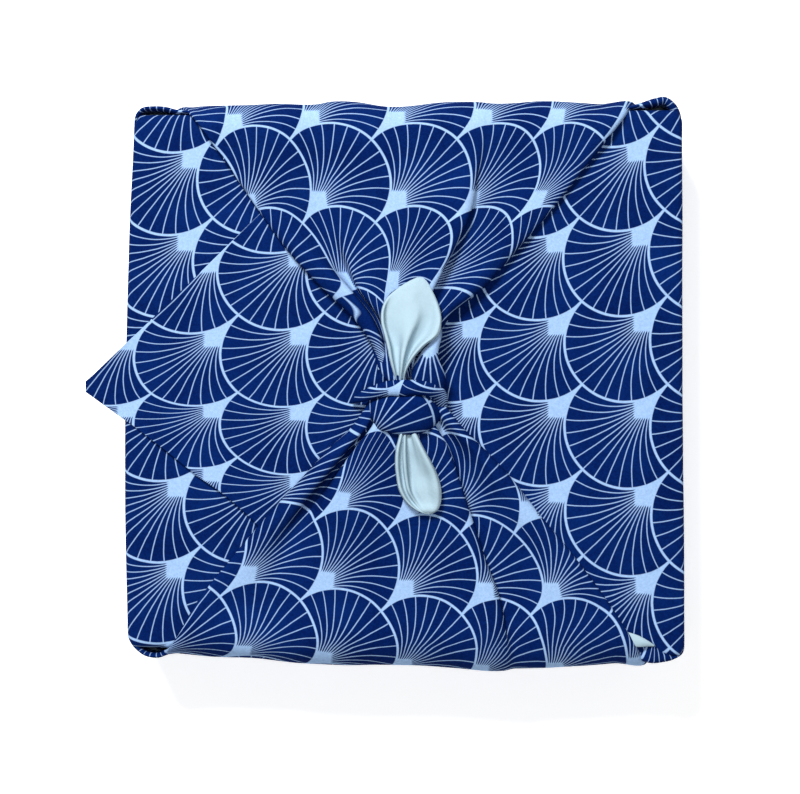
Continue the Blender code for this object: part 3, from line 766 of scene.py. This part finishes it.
def makeDrawnCorner(name, folds, stops, way, flip):
    lines = foldLines(folds, stops, way)
    known = [number for number, fold in enumerate(folds.values()) if fold[2]]
    perFold = drawnCorners["perFold"]
    topLevel, topOver = drawnCorners["topLevel"]
    topHeight, topSize = drawnCorners["topRipple"]
    faceHeight, faceSize = drawnCorners["faceRipple"]
    pull, pullSize, pullFrom, pullOver = drawnCorners["pull"]
    columns = perFold * (len(folds) - 1)
    rows = drawnCorners["perStop"] * (len(stops["reach"]) - 1)
    sections = {}

    def makeSection(v):
        marks = [smoothThrough(line, v) for line in lines]
        corners = [mark[:3] for mark in marks]
        points = [smoothThrough(corners, column / columns) for column in range(columns + 1)]
        lengths = [0.0]
        for first, second in zip(points, points[1:]):
            lengths.append(lengths[-1] + (second - first).length)
        anchors = [(lengths[number * perFold], marks[number][3]) for number in known]
        threads = [threadAt(length, anchors) for length in lengths]
        return points, threads, marks[0][4]

    def place(u, v):
        key = round(v * rows)
        if key not in sections:
            sections[key] = makeSection(v)
        points, threads, printAlong = sections[key]
        column = round(u * columns)
        x, y, z = points[column]
        thread = threads[column]
        onTop = ease((z - topLevel) / topOver)
        near = ease((pullFrom - abs(y)) / pullOver)
        pulled = ripple(thread * drawnCorners["threadLength"], y * 0.25, pullSize, 7.0)
        z += onTop * (topHeight * ripple(x, y, topSize, 3.0 + way) + near * pull * pulled)
        y += way * (1.0 - onTop) * faceHeight * ripple(x, z, faceSize, 4.0)
        return (x, y, z), (stops["shiftAcross"] - thread, printAlong + between(x, stops["shiftAlong"]))

    sheet = makeSheet(name, columns, rows, place)
    return finishPiece(name, sheet, bothSides, flip=flip, thickness=cloth["thickness"])


print("Drawing up the back and front corners")
backCorner = makeDrawnCorner("back_corner", foldsBack, stopsBack, 1, True)
frontCorner = makeDrawnCorner("front_corner", foldsFront, stopsFront, -1, False)


# The ears: at each top corner the cloth turns in behind the panel and stands open like a pocket

ears = {
    "back_left": {
        "rim": ((-138.6, 124, 46), (-138.2, 131, 49.5), (-137.0, 136.8, 51.6), (-134.0, 140.0, 52.0),
                (-128.9, 140.7, 52.2), (-122.1, 140.4, 52.2), (-116, 138.9, 52.6), (-106, 138.2, 53)),
        "foot": ((-139.6, 122), (-139.3, 127), (-138.6, 132), (-136.0, 135.6), (-128, 136.8), (-120, 137.0),
                 (-112, 137.0), (-104, 137.0)),
        "roll": (1.3, 1.4, 1.9, 2.0, 2.0, 2.0, 1.7, 1.3), "side": -1, "end": 1},
    "back_right": {
        "rim": ((140.4, 125, 46), (140.3, 131, 50), (139.5, 137.0, 52.0), (137.0, 141.8, 52.6),
                (132.4, 145.2, 52.8), (127.0, 144.6, 52.6), (120.5, 142.4, 52.6), (113, 140.4, 53)),
        "foot": ((140.8, 124), (140.6, 130), (140.0, 135), (136.6, 138.6), (130, 139.4), (124, 139.4),
                 (118, 139.4), (110, 139)),
        "roll": (1.3, 1.8, 3.2, 3.4, 3.4, 3.3, 2.4, 1.3), "side": 1, "end": 1},
    "front_left": {
        "rim": ((-141.8, -119, 46), (-141.5, -125.5, 50), (-140.2, -131.4, 51.0), (-136.4, -136.2, 51.2),
                (-132.4, -138.9, 51.2), (-126, -139.7, 51.4), (-121.6, -138.3, 51.6), (-116, -136.4, 52.4)),
        "foot": ((-142.2, -118), (-142.0, -123), (-141.0, -128.6), (-137.4, -133.0), (-132, -134.4),
                 (-126, -134.8), (-121, -134.8), (-115, -134.8)),
        "roll": (1.3, 1.4, 1.9, 2.0, 2.0, 2.0, 1.7, 1.3), "side": -1, "end": -1},
    "front_right": {
        "rim": ((141.8, -126, 47), (141.9, -132, 51), (141.0, -137.2, 51.8), (136.8, -140.2, 52.8),
                (131, -141.0, 55.4), (125.0, -141.4, 56.2), (120.0, -140.2, 54.4), (114, -137.5, 52)),
        "foot": ((142.0, -124), (142.0, -129), (141.2, -134), (137.4, -138.4), (130, -139.2), (124, -139.4),
                 (119, -139.4), (113, -139.2)),
        "roll": (1.3, 1.3, 1.4, 1.6, 4.5, 9.0, 9.0, 7.0), "side": 1, "end": -1},
}


earFold = {
    "shoulder": 1.2,            # the rim starts to turn this far below its top
    "sinks": ((1.0, 1.4), (1.05, 6.0), (1.1, 13.0)),    # the inner layer: shares of the roll, depths
    "start": (2.3, 0.4),        # spot in the print at the foot of the ear's first end
    "run": 1.25,                # repeats along the rim
    "repeat": 43.0,
    "innerFrom": 0.57,          # share of the way over where the inner layer starts
    "ripple": (0.25, 9.0),
}


def makeEar(name, ear):
    end = ear["end"]
    spotAcross, spotAlong = earFold["start"]
    height, size = earFold["ripple"]
    turn = ear["side"] * end

    def place(u, v):
        rimX, rimY, rimZ = smoothThrough(ear["rim"], u)
        footX, footY = smoothThrough(ear["foot"], u)
        roll = between(u * (len(ear["roll"]) - 1), list(enumerate(ear["roll"])))
        # Inward is away from the outside of the parcel at this place
        ahead = smoothThrough(ear["rim"], min(u + 0.02, 1.0)) - smoothThrough(ear["rim"], max(u - 0.02, 0.0))
        inward = Vector((-ahead.y, ahead.x)).normalized() * turn
        profile = [
            (footX, footY, 1.0),
            (footX + 0.25 * (rimX - footX), footY + 0.25 * (rimY - footY), 18.0),
            (footX + 0.75 * (rimX - footX), footY + 0.75 * (rimY - footY), rimZ - 12.0),
            (rimX, rimY, rimZ - earFold["shoulder"]),
            (rimX + inward.x * 0.5 * roll, rimY + inward.y * 0.5 * roll, rimZ),
        ]
        for share, sink in earFold["sinks"]:
            profile.append((rimX + inward.x * roll * share, rimY + inward.y * roll * share, rimZ - sink))
        x, y, z = smoothThrough(profile, v)
        y += end * height * ripple(x, z, size, 12.0)
        climbed = z if v < earFold["innerFrom"] else 2.0 * rimZ - z
        return (x, y, z), (spotAcross + u * earFold["run"], spotAlong + climbed / earFold["repeat"])

    sheet = makeSheet(name, 56, 42, place)
    return finishPiece("ear_" + name, sheet, bothSides, flip=turn < 0, thickness=cloth["thickness"])


print("Turning in the ears")
earPieces = [makeEar(name, ear) for name, ear in ears.items()]


# The square knot

def fanSpot(point, cusp, axisAngle, near, far, length, spread):
    # Spot in the print for a fan whose rays leave a cusp, with its angle and reach given
    dx, dy = point[0] - cusp[0], point[1] - cusp[1]
    angle = (atan2(dy, dx) - axisAngle) * spread
    angle = max(-1.5, min(1.5, angle))
    reach = near + (far - near) * hypot(dx, dy) / length
    reach = min(reach, 1.55)
    bend = tan(angle / 2.0)
    lateral = max(-0.95 * reach, min(0.95 * reach, bend * reach * reach / sqrt(2.0)))
    forward = sqrt(reach * reach - lateral * lateral)
    return 0.5 - (forward + lateral) / sqrt(2.0), 0.5 - (forward - lateral) / sqrt(2.0)


def makeBand(name, rows, spotOf, sides=28, perRow=8, groove=0.0):
    # A rolled band, oval across its line: rows of x, y, level, width and thickness
    def place(u, v):
        x, y, level, width, thick = smoothThrough(rows, v)
        ahead = smoothThrough(rows, min(v + 0.02, 1.0)) - smoothThrough(rows, max(v - 0.02, 0.0))
        along = Vector(ahead[:3]).normalized()
        side = along.cross(Vector((0.0, 0.0, 1.0))).normalized()
        rise = side.cross(along)
        angle = u * 2.0 * pi
        wobble = 1.0 + groove * cos(5.0 * angle + 9.0 * v) * sin(pi * v)
        offset = side * (0.5 * width * cos(angle) * wobble) + rise * (0.5 * thick * sin(angle) * wobble)
        point = Vector((x, y, level)) + offset
        return point, spotOf(point, u, v)

    tube = makeSheet(name, sides, perRow * (len(rows) - 1), place)
    bmesh.ops.remove_doubles(tube, verts=tube.verts[:], dist=1e-7)
    rims = [edge for edge in tube.edges if edge.is_boundary]
    bmesh.ops.holes_fill(tube, edges=rims, sides=0)
    bmesh.ops.recalc_face_normals(tube, faces=tube.faces[:])
    return finishPiece(name, tube, (printedCotton,))


knot = {
    "pillow": ((-15.5, -16, 55.5, 11, 8), (-13.4, -14.8, 60.8, 17, 9.5), (-8, -15.2, 65.0, 19.5, 10.5),
               (0, -15.8, 66.2, 20.5, 11), (7, -15.2, 65.4, 20, 10.5), (11.5, -13.8, 61.8, 16.5, 9),
               (13.2, -12.5, 56, 11, 7)),
    # Fans on the knot: cusp, way that the middle ray points, near and far reach, length, spread
    "pillowFan": ((-17.5, -26.5), radians(30.0), 0.50, 1.46, 35.0, 1.05),
    "rightFan": ((12.0, 20.5), radians(-100.0), 0.22, 1.2, 24.0, 1.1),
    "top": ((-27.0, -9.8, 57.0, 2, 2), (-22.5, -7.4, 61.5, 5, 4), (-15.5, -4.6, 65.6, 6.6, 5),
            (-8.9, -2.8, 68.0, 7.6, 5.5), (-2, -2.6, 69.0, 8.2, 6), (5.8, -2.4, 68.4, 7.6, 6),
            (12, -3.0, 66.6, 7.5, 5.5), (16.5, -5.5, 63.2, 7.5, 5), (18, -10, 59.6, 6.5, 4.5),
            (17, -14, 56, 6, 4)),
    "leftRoot": ((-15.5, 25, 57.0, 5, 4), (-12.8, 17, 60.0, 8, 5), (-9.2, 9, 62.6, 9, 5.5), (-4.5, 2, 65, 9, 6),
                 (-2.0, -3, 65, 8, 6)),
    "rightRoot": ((14.0, -6.0, 61, 12, 7), (12.0, 0.5, 65, 17, 7), (11.2, 6, 66.4, 16, 6.5),
                  (11.5, 12, 66.6, 11, 6), (13.8, 18, 66.4, 6, 5), (16.6, 24.5, 66.6, 3.5, 3.5),
                  (17.4, 29, 66.8, 1.6, 1.8)),
    "core": ((0.5, -9.0, 58.0), (16.5, 12.0, 8.0)),
    "topPrint": ((-27.0, -0.45), (-8.4, 0.11), (0.3, 0.50), (20.0, 1.09)),
    "topAlong": (0.39, 0.030),
    "leftPrint": ((0.30, 0.02), (0.9, -0.008)),
    "corePrint": (0.3, 0.043),
}


def makeKnot():
    topStart, topRate = knot["topAlong"]
    (leftAcross, acrossRate), (leftAlong, alongRate) = knot["leftPrint"]

    def pillowSpot(point, u, v):
        return fanSpot(point, *knot["pillowFan"])

    def topSpot(point, u, v):
        return between(point.x, knot["topPrint"]), topStart + point.y * topRate

    def leftSpot(point, u, v):
        return leftAcross + point.x * acrossRate, leftAlong + point.y * alongRate

    def rightSpot(point, u, v):
        return fanSpot(point, *knot["rightFan"])

    pieces = [
        makeBand("knot_front_band", knot["pillow"], pillowSpot, 48, 12),
        makeBand("knot_top_band", knot["top"], topSpot, 24, 8),
        makeBand("knot_left_root", knot["leftRoot"], leftSpot, 24, 8, groove=0.05),
        makeBand("knot_right_root", knot["rightRoot"], rightSpot, 32, 8, groove=0.03),
    ]
    middle, sizes = knot["core"]
    core = bmesh.new()
    bmesh.ops.create_uvsphere(core, u_segments=32, v_segments=18, radius=mm)
    bmesh.ops.scale(core, vec=sizes, verts=core.verts[:])
    bmesh.ops.translate(core, vec=Vector(middle) * mm, verts=core.verts[:])
    printLayer = core.loops.layers.uv.new("print")
    start, repeat = knot["corePrint"]
    for face in core.faces:
        for loop in face.loops:
            loop[printLayer].uv = (loop.vert.co.x / repeat + start, loop.vert.co.y / repeat)
    pieces.append(finishPiece("knot_core", core, (printedCotton,)))
    return pieces


print("Tying the knot")
knotPieces = makeKnot()


# The free ends, with the pale reverse up. Each row across an end lists places and levels from
# its left hem to its right lip.

backEnd = {
    "rows": (
        (0.5, 66.8, ((-4.8, 0), (-4.4, 0.8), (-3.9, -0.2), (-3.4, -0.2), (-2.6, 1.0), (-2.0, 0.2), (-1.6, 0.0),
                     (-1.1, 0.9), (-0.6, 0.0))),
        (6, 68.4, ((-6.6, 0.8), (-5.8, 2.6), (-4.6, -0.4), (-3.6, -0.4), (-2.1, 2.8), (-1.4, 0.6), (-0.9, 0.2),
                   (-0.2, 3.0), (0.6, 1.4))),
        (12, 68.2, ((-8.2, 1.8), (-7.3, 3.8), (-5.6, -0.6), (-3.8, -0.6), (-1.5, 4.2), (0.0, 0.8), (1.0, 0.0),
                    (2.8, 4.8), (4.0, 2.4))),
        (18.3, 67.0, ((-9.5, 2.4), (-8.5, 4.8), (-6.4, -0.8), (-4.0, -0.8), (-0.2, 4.8), (2.2, 0.8), (4.4, -0.2),
                      (8.0, 5.6), (9.6, 3.4))),
        (24, 66.6, ((-10.9, 2.4), (-9.9, 4.8), (-8.0, -0.8), (-4.6, -0.4), (1.6, 4.6), (5.0, 0.8), (8.6, 0.0),
                    (14.6, 5.4), (16.6, 3.8))),
        (30, 66.4, ((-12.3, 2.0), (-11.4, 4.4), (-9.8, -0.4), (-5.6, 0.2), (4.2, 3.8), (8.0, 0.9), (11.8, 0.6),
                    (16.8, 4.6), (17.9, 3.2))),
        (36, 66.2, ((-12.2, 1.2), (-11.3, 3.2), (-9.8, 0.2), (-5.4, 0.8), (5.6, 2.6), (9.4, 1.2), (12.6, 1.2),
                    (16.4, 3.0), (17.4, 1.6))),
        (42, 66.0, ((-9.8, 0.0), (-9.0, 1.0), (-7.4, 0.8), (-3.6, 1.4), (3.2, 2.0), (8.0, 1.4), (11.8, 1.4),
                    (14.6, 1.4), (15.4, 0.4))),
        (47, 66.0, ((-4.4, 0.0), (-3.8, 0.4), (-2.6, 0.8), (0.4, 1.2), (4.4, 1.4), (7.8, 1.2), (10.2, 1.0),
                    (12.2, 0.6), (12.9, 0.2))),
        (50.8, 65.8, ((1.4, 0.0), (1.8, 0.2), (2.6, 0.4), (4.0, 0.8), (6.0, 1.0), (7.6, 0.8), (9.0, 0.6),
                      (10.2, 0.2), (10.7, 0.0))),
        (52.9, 65.4, ((5.8, 0.0), (6.0, 0.1), (6.4, 0.2), (6.8, 0.4), (7.2, 0.5), (7.6, 0.4), (8.0, 0.2),
                      (8.4, 0.1), (8.6, 0.0))),
    ),
}
frontEnd = {
    "rows": (
        (-22.0, 63.6, ((-2.0, 0.0), (-1.4, 0.8), (-0.8, 0.0), (0.0, 0.0), (0.6, -0.6), (1.4, 0.0), (2.2, 0.8),
                       (3.2, 0.8), (4.0, 0.0))),
        (-27.0, 66.2, ((-3.4, 0.8), (-2.4, 2.8), (-1.2, 0.0), (-0.4, 1.6), (0.9, -1.2), (2.3, -0.8), (3.6, 1.8),
                       (5.4, 3.0), (6.4, 0.8))),
        (-33.0, 66.6, ((-4.9, 1.4), (-3.8, 3.8), (-2.0, 0.0), (-0.6, 2.6), (1.0, -1.7), (3.4, -1.2), (5.4, 1.6),
                       (8.0, 3.8), (9.4, 1.0))),
        (-40.0, 66.0, ((-5.4, 1.4), (-4.3, 4.0), (-2.2, 0.0), (-0.4, 3.0), (1.4, -2.4), (4.6, -1.8), (7.6, 1.0),
                       (11.6, 4.0), (13.2, 1.0))),
        (-47.0, 65.0, ((-4.8, 1.0), (-3.8, 3.8), (-1.4, 0.2), (0.2, 3.0), (2.2, -2.0), (5.6, -1.0), (9.6, 0.4),
                       (14.6, 3.6), (16.4, 0.8))),
        (-54.0, 64.8, ((-3.4, 0.6), (-2.3, 3.2), (0.0, 0.0), (1.6, 2.4), (3.4, -1.4), (6.6, -0.2), (10.8, 0.2),
                       (15.9, 3.0), (18.0, 0.6))),
        (-60.0, 64.4, ((0.2, 0.4), (1.3, 2.4), (3.4, -0.8), (5.0, 0.6), (6.6, -0.6), (9.2, 0.2), (12.2, 0.4),
                       (16.0, 1.8), (17.7, 0.4))),
        (-64.0, 64.2, ((5.2, 0.2), (6.1, 1.6), (7.3, 0.8), (8.4, 0.9), (9.6, 1.0), (11.0, 1.2), (12.8, 1.3),
                       (14.9, 1.2), (16.0, 0.4))),
        (-66.0, 63.6, ((10.2, 0.0), (10.5, 0.2), (10.8, 0.3), (11.2, 0.4), (11.6, 0.5), (12.0, 0.4), (12.3, 0.3),
                       (12.6, 0.2), (12.9, 0.0))),
    ),
}


def reverseSpot(x, y):
    # The threads of a piece that lies with its pale side up
    across, along = cloth["reverseStart"]
    return across - x * cloth["reverseRate"], along + y * cloth["reverseRate"]


def makeFreeEnd(name, end, flip):
    lines = []
    for y, level, marks in end["rows"]:
        lines.append([(x, y, level + rise) for x, rise in marks])
    sections = {}

    def place(u, v):
        key = round(v, 6)
        if key not in sections:
            sections[key] = [tuple(smoothThrough([row[mark] for row in lines], v)) for mark in range(9)]
        x, y, z = smoothThrough(sections[key], u)
        z += 0.15 * ripple(x, y, 8.0, 20.0)
        return (x, y, z), reverseSpot(x, y)

    sheet = makeSheet(name, 64, 80, place)
    return finishPiece(name, sheet, (cottonReverse, printedCotton), flip=flip, thickness=cloth["thickness"])


print("Laying out the free ends")
backTail = makeFreeEnd("free_end_back", backEnd, False)
frontTail = makeFreeEnd("free_end_front", frontEnd, True)


# At the front right corner the hem curls over and shows the pale reverse

curl = {
    "upper": ((109.6, -125.6, 54.8), (114.0, -126.4, 56.4), (118.2, -127.8, 57.0), (122.2, -130.0, 57.0),
              (126.0, -132.6, 56.0)),
    "lower": ((110.8, -127.6, 54.8), (113.8, -132.6, 56.6), (117.4, -133.4, 57.2), (121.4, -133.2, 57.0),
              (125.8, -133.2, 56.0)),
    "rise": 1.0,
}


def makeHemCurl():
    def place(u, v):
        across = smoothThrough(curl["upper"], u)
        point = across.lerp(smoothThrough(curl["lower"], u), v)
        point.z += curl["rise"] * sin(pi * u) * (1.0 - (2.0 * v - 1.0) ** 2)
        return point, reverseSpot(point.x, point.y)

    sheet = makeSheet("hem_curl", 40, 16, place)
    return finishPiece("hem_curl", sheet, (cottonReverse, printedCotton), flip=True,
                       thickness=cloth["thickness"])


print("Curling the hem")
hemCurl = makeHemCurl()


# The pieces of the one square of cloth, gathered in a list that nothing further uses


def declareCloth():
    pieces = [wrappedPanels, backCorner, frontCorner, backTail, frontTail, hemCurl]
    pieces += earPieces + knotPieces


declareCloth()


# Camera, lights and floor

studio = {
    "cameraAt": (-2.8, -7.1, 1054.0),
    "lens": 88.8,
    # Name, place in metres, width in metres and power of each lamp
    "lamps": (
        ("soft_key", (-0.45, 0.95, 1.3), 0.45, 37.0),
        ("soft_top", (0.1, -0.2, 1.9), 0.8, 14.0),
    ),
    "sky": 0.22,
    "floorSize": 15.0,          # half its width, in metres
    "floorShade": (0.9, 0.9, 0.9, 1.0),
    "floorGlow": 0.45,
}


def makeStudio():
    cameraData = bpy.data.cameras.new("camera")
    cameraData.lens = studio["lens"]
    cameraData.sensor_width = 36.0
    cameraData.dof.use_dof = False
    camera = bpy.data.objects.new("camera", cameraData)
    camera.location = Vector(studio["cameraAt"]) * mm
    bpy.context.scene.collection.objects.link(camera)
    bpy.context.scene.camera = camera
    floor = bmesh.new()
    bmesh.ops.create_grid(floor, x_segments=1, y_segments=1, size=studio["floorSize"])
    mesh = bpy.data.meshes.new("floor")
    floor.to_mesh(mesh)
    floor.free()
    ground = bpy.data.objects.new("floor", mesh)
    bpy.context.scene.collection.objects.link(ground)
    paint = bpy.data.materials.new("pale_floor")
    paint.use_nodes = True
    sockets = paint.node_tree.nodes["Principled BSDF"].inputs
    sockets["Base Color"].default_value = studio["floorShade"]
    sockets["Roughness"].default_value = 0.9
    sockets["Emission Color"].default_value = (1.0, 1.0, 1.0, 1.0)
    sockets["Emission Strength"].default_value = studio["floorGlow"]
    mesh.materials.append(paint)
    for name, at, size, power in studio["lamps"]:
        lampData = bpy.data.lights.new(name, "AREA")
        lampData.shape = "DISK"
        lampData.size = size
        lampData.energy = power
        lamp = bpy.data.objects.new(name, lampData)
        lamp.location = at
        lamp.rotation_euler = (-Vector(at)).to_track_quat("-Z", "Y").to_euler()
        bpy.context.scene.collection.objects.link(lamp)
    world = bpy.data.worlds.new("studio")
    world.use_nodes = True
    world.node_tree.nodes["Background"].inputs["Color"].default_value = (1.0, 1.0, 1.0, 1.0)
    world.node_tree.nodes["Background"].inputs["Strength"].default_value = studio["sky"]
    bpy.context.scene.world = world
    bpy.context.scene.view_settings.view_transform = "Standard"


print("Setting up the studio")
makeStudio()
